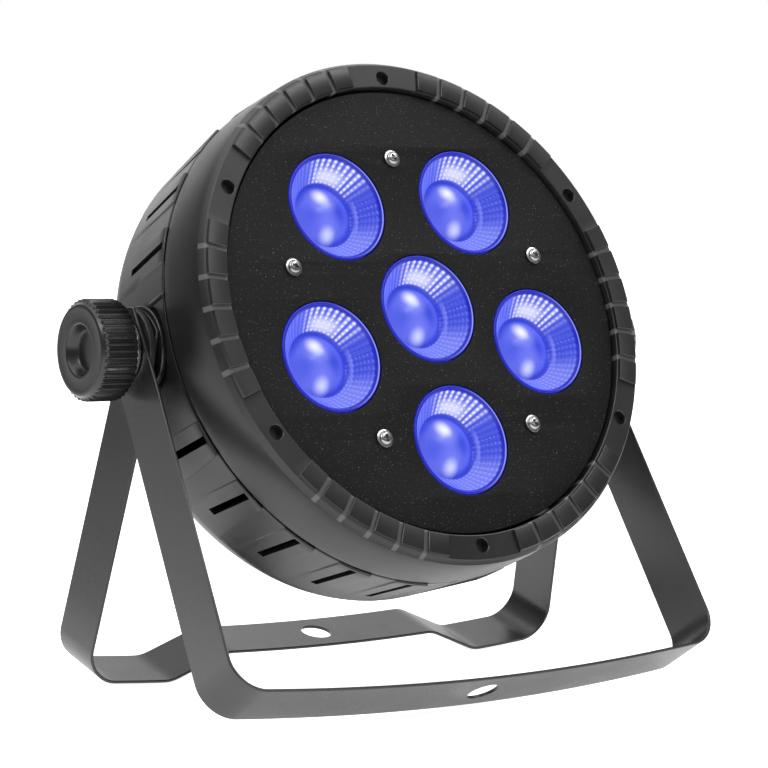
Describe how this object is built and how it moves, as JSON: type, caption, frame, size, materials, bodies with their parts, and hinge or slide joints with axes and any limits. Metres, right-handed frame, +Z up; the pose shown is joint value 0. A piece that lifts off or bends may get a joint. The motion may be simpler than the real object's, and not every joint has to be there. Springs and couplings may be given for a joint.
{
  "type": "par can light",
  "caption": "Flat round stage light with round lenses in a black head, hung between two hinged U-shaped brackets that form a floor stand and are clamped by fluted side knobs.",
  "frame": {"origin": "on the floor under the middle of the object's bounding box, with both bracket bars standing on the floor", "axes": "+Z up; +X along the pivot axis, to the right seen from the front; the light faces -Y, tilted up by 22 degrees"},
  "size_m": [0.2566, 0.1532, 0.2412],
  "materials": {
    "moulded_plastic": "satin black moulded plastic with a fine texture",
    "painted_steel": "satin black powder coat",
    "plate_paint": "matte black fine powder coat",
    "knob_plastic": "semi-gloss black plastic",
    "spacer_rubber": "matte black rubber",
    "zinc_steel": "bright zinc plate",
    "insert_brass": "plain turned brass",
    "heat_sink_aluminium": "plain extruded aluminium",
    "lens_blue": "clear moulded lens lit deep blue from behind",
    "emitter_resin": "yellowish resin dome",
    "circuit_board": "green solder mask",
    "display_glass": "dark smoked window",
    "socket_plastic": "matte black plastic",
    "button_plastic": "matte dark grey plastic"
  },
  "bodies": {
    "front_bracket": {"front_bracket": "painted_steel", "left_spacer": "spacer_rubber", "right_spacer": "spacer_rubber"},
    "rear_bracket": {"rear_bracket": "painted_steel"},
    "head": {"front_bezel": "moulded_plastic", "front_shell": "moulded_plastic", "rear_shell": "moulded_plastic", "rear_panel": "plate_paint", "front_plate": "plate_paint", "lens_carrier": "moulded_plastic", "led_board": "heat_sink_aluminium", "heat_sink": "heat_sink_aluminium", "power_supply_board": "circuit_board", "driver_board": "circuit_board", "display_window": "display_glass", "display_board": "circuit_board", "power_inlet": "socket_plastic", "power_outlet": "socket_plastic", "dmx_in_socket": "socket_plastic", "dmx_out_socket": "socket_plastic", "left_boss_disc": "moulded_plastic", "right_boss_disc": "moulded_plastic", "left_pivot_insert": "insert_brass", "right_pivot_insert": "insert_brass", "lens_1": "lens_blue", "lens_2": "lens_blue", "lens_3": "lens_blue", "lens_4": "lens_blue", "lens_5": "lens_blue", "lens_6": "lens_blue", "led_emitter_1": "emitter_resin", "led_emitter_2": "emitter_resin", "led_emitter_3": "emitter_resin", "led_emitter_4": "emitter_resin", "led_emitter_5": "emitter_resin", "led_emitter_6": "emitter_resin", "plate_screw_1": "zinc_steel", "plate_screw_2": "zinc_steel", "plate_screw_3": "zinc_steel", "plate_screw_4": "zinc_steel", "plate_screw_5": "zinc_steel", "bezel_screw_1": "zinc_steel", "bezel_screw_2": "zinc_steel", "bezel_screw_3": "zinc_steel", "bezel_screw_4": "zinc_steel", "bezel_screw_5": "zinc_steel", "bezel_screw_6": "zinc_steel"},
    "left_clamp_washer": {"left_knob_washer": "zinc_steel"},
    "left_knob": {"left_knob": "knob_plastic", "left_knob_stud": "zinc_steel"},
    "right_clamp_washer": {"right_knob_washer": "zinc_steel"},
    "right_knob": {"right_knob": "knob_plastic", "right_knob_stud": "zinc_steel"},
    "menu_button_1": {"menu_button_1": "button_plastic"},
    "menu_button_2": {"menu_button_2": "button_plastic"},
    "menu_button_3": {"menu_button_3": "button_plastic"},
    "menu_button_4": {"menu_button_4": "button_plastic"}
  },
  "joints": [
    {"name": "head_tilt", "type": "hinge", "parent": "front_bracket", "child": "head", "pos_m": [0, 0.01508, 0.1311], "axis": [1, 0, 0], "range_deg": [-180, 180]},
    {"name": "rear_bracket_swing", "type": "hinge", "parent": "front_bracket", "child": "rear_bracket", "pos_m": [0, 0.01508, 0.1311], "axis": [1, 0, 0], "range_deg": [-32, 133]},
    {"name": "left_knob_travel", "type": "slide", "parent": "head", "child": "left_clamp_washer", "axis": [-1, 0, 0], "range_m": [0, 0.0025]},
    {"name": "left_knob_turn", "type": "hinge", "parent": "left_clamp_washer", "child": "left_knob", "pos_m": [0, 0.01508, 0.1311], "axis": [-1, 0, 0], "range_deg": [0, 720.5]},
    {"name": "right_knob_travel", "type": "slide", "parent": "head", "child": "right_clamp_washer", "axis": [1, 0, 0], "range_m": [0, 0.0025]},
    {"name": "right_knob_turn", "type": "hinge", "parent": "right_clamp_washer", "child": "right_knob", "pos_m": [0, 0.01508, 0.1311], "axis": [1, 0, 0], "range_deg": [0, 720.5]},
    {"name": "menu_button_1_press", "type": "slide", "parent": "head", "child": "menu_button_1", "axis": [0, -0.9262, 0.377], "range_m": [0, 0.001], "stiffness_N_per_m": 300},
    {"name": "menu_button_2_press", "type": "slide", "parent": "head", "child": "menu_button_2", "axis": [0, -0.9262, 0.377], "range_m": [0, 0.001], "stiffness_N_per_m": 300},
    {"name": "menu_button_3_press", "type": "slide", "parent": "head", "child": "menu_button_3", "axis": [0, -0.9262, 0.377], "range_m": [0, 0.001], "stiffness_N_per_m": 300},
    {"name": "menu_button_4_press", "type": "slide", "parent": "head", "child": "menu_button_4", "axis": [0, -0.9262, 0.377], "range_m": [0, 0.001], "stiffness_N_per_m": 300}
  ],
  "couplings": [
    {"joint": "left_knob_turn", "follows": "left_knob_travel", "rad_per_m": 5026.5},
    {"joint": "right_knob_turn", "follows": "right_knob_travel", "rad_per_m": 5026.5}
  ]
}
